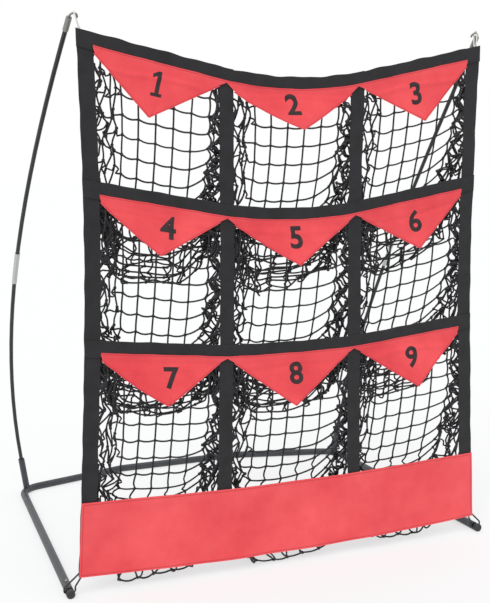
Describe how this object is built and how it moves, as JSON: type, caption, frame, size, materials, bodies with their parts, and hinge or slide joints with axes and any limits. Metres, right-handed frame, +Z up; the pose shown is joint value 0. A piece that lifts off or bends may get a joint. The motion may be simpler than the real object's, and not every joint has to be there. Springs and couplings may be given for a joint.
{
  "type": "pocket target net",
  "caption": "Upright pocket target net with numbered swinging flags, strung between two bowed poles on a bent tube base.",
  "frame": {"origin": "on the ground under the centre of the bounding box", "axes": "+X to the right along the net as its front is seen, +Y from the net back over the base, +Z up"},
  "size_m": [1.1228, 0.9326, 1.2864],
  "materials": {
    "red_cloth": "matt woven polyester",
    "black_netting": "knotted polyethylene twine",
    "black_webbing": "woven webbing",
    "pale_cord": "elastic cord",
    "black_cord": "elastic cord",
    "dark_coated_steel": "satin dark grey powder coat",
    "black_plastic": "moulded",
    "black_fibreglass": "smooth pultruded rod",
    "bright_aluminium": "satin drawn tube",
    "grey_cast_metal": "plain satin",
    "bright_steel": "plated"
  },
  "bodies": {
    "frame": {"banner": "red_cloth", "bottom_strap": "black_webbing", "centre_tube": "dark_coated_steel", "left_border": "black_webbing", "left_bottom_loop": "black_cord", "left_button_spring": "bright_steel", "left_end_cap": "black_plastic", "left_ferrule": "bright_aluminium", "left_inner_strap": "black_webbing", "left_joint_sleeve": "bright_steel", "left_lower_rod": "black_fibreglass", "left_pole_socket": "dark_coated_steel", "left_side_tube": "dark_coated_steel", "left_tip_hook": "grey_cast_metal", "left_top_loop": "pale_cord", "left_upper_rod": "black_fibreglass", "lower_cross_strap": "black_webbing", "lower_flag_header": "red_cloth", "middle_flag_header": "red_cloth", "pocket_net_1": "black_netting", "pocket_net_2": "black_netting", "pocket_net_3": "black_netting", "pocket_net_4": "black_netting", "pocket_net_5": "black_netting", "pocket_net_6": "black_netting", "pocket_net_7": "black_netting", "pocket_net_8": "black_netting", "pocket_net_9": "black_netting", "right_border": "black_webbing", "right_bottom_loop": "black_cord", "right_button_spring": "bright_steel", "right_end_cap": "black_plastic", "right_ferrule": "bright_aluminium", "right_inner_strap": "black_webbing", "right_joint_sleeve": "bright_steel", "right_lower_rod": "black_fibreglass", "right_pole_socket": "dark_coated_steel", "right_side_tube": "dark_coated_steel", "right_tip_hook": "grey_cast_metal", "right_top_loop": "pale_cord", "right_upper_rod": "black_fibreglass", "top_flag_header": "red_cloth", "top_strap": "black_webbing", "upper_cross_strap": "black_webbing"},
    "flag_1_body": {"flag_1": "red_cloth"},
    "flag_2_body": {"flag_2": "red_cloth"},
    "flag_3_body": {"flag_3": "red_cloth"},
    "flag_4_body": {"flag_4": "red_cloth"},
    "flag_5_body": {"flag_5": "red_cloth"},
    "flag_6_body": {"flag_6": "red_cloth"},
    "flag_7_body": {"flag_7": "red_cloth"},
    "flag_8_body": {"flag_8": "red_cloth"},
    "flag_9_body": {"flag_9": "red_cloth"},
    "left_button_body": {"left_spring_button": "bright_steel"},
    "right_button_body": {"right_spring_button": "bright_steel"}
  },
  "joints": [
    {"name": "flag_1_swing", "type": "hinge", "parent": "frame", "child": "flag_1_body", "pos_m": [-0.32436, -0.39737, 1.16266], "axis": [0.9773, 0, -0.2119], "range_deg": [-75, 25]},
    {"name": "flag_2_swing", "type": "hinge", "parent": "frame", "child": "flag_2_body", "pos_m": [0, -0.39738, 1.1202], "axis": [1, 0, 0], "range_deg": [-75, 25]},
    {"name": "flag_3_swing", "type": "hinge", "parent": "frame", "child": "flag_3_body", "pos_m": [0.32436, -0.39737, 1.16266], "axis": [0.9773, 0, 0.2119], "range_deg": [-75, 25]},
    {"name": "flag_4_swing", "type": "hinge", "parent": "frame", "child": "flag_4_body", "pos_m": [-0.3198, -0.39737, 0.85549], "axis": [0.984, 0, -0.1783], "range_deg": [-75, 25]},
    {"name": "flag_5_swing", "type": "hinge", "parent": "frame", "child": "flag_5_body", "pos_m": [0, -0.39737, 0.8232], "axis": [1, 0, 0], "range_deg": [-75, 25]},
    {"name": "flag_6_swing", "type": "hinge", "parent": "frame", "child": "flag_6_body", "pos_m": [0.3198, -0.39737, 0.85549], "axis": [0.984, 0, 0.1783], "range_deg": [-75, 25]},
    {"name": "flag_7_swing", "type": "hinge", "parent": "frame", "child": "flag_7_body", "pos_m": [-0.32255, -0.39737, 0.52023], "axis": [0.9948, 0, -0.1015], "range_deg": [-75, 25]},
    {"name": "flag_8_swing", "type": "hinge", "parent": "frame", "child": "flag_8_body", "pos_m": [0, -0.39738, 0.5035], "axis": [1, 0, 0], "range_deg": [-75, 25]},
    {"name": "flag_9_swing", "type": "hinge", "parent": "frame", "child": "flag_9_body", "pos_m": [0.32255, -0.39737, 0.52023], "axis": [0.9948, 0, 0.1015], "range_deg": [-75, 25]},
    {"name": "left_button_press", "type": "slide", "parent": "frame", "child": "left_button_body", "axis": [0, 0, 1], "range_m": [-0.0026, 0], "stiffness_N_per_m": 1500, "springref_m": 0.001, "deforming": ["left_button_spring"]},
    {"name": "right_button_press", "type": "slide", "parent": "frame", "child": "right_button_body", "axis": [0, 0, 1], "range_m": [-0.0026, 0], "stiffness_N_per_m": 1500, "springref_m": 0.001, "deforming": ["right_button_spring"]}
  ]
}
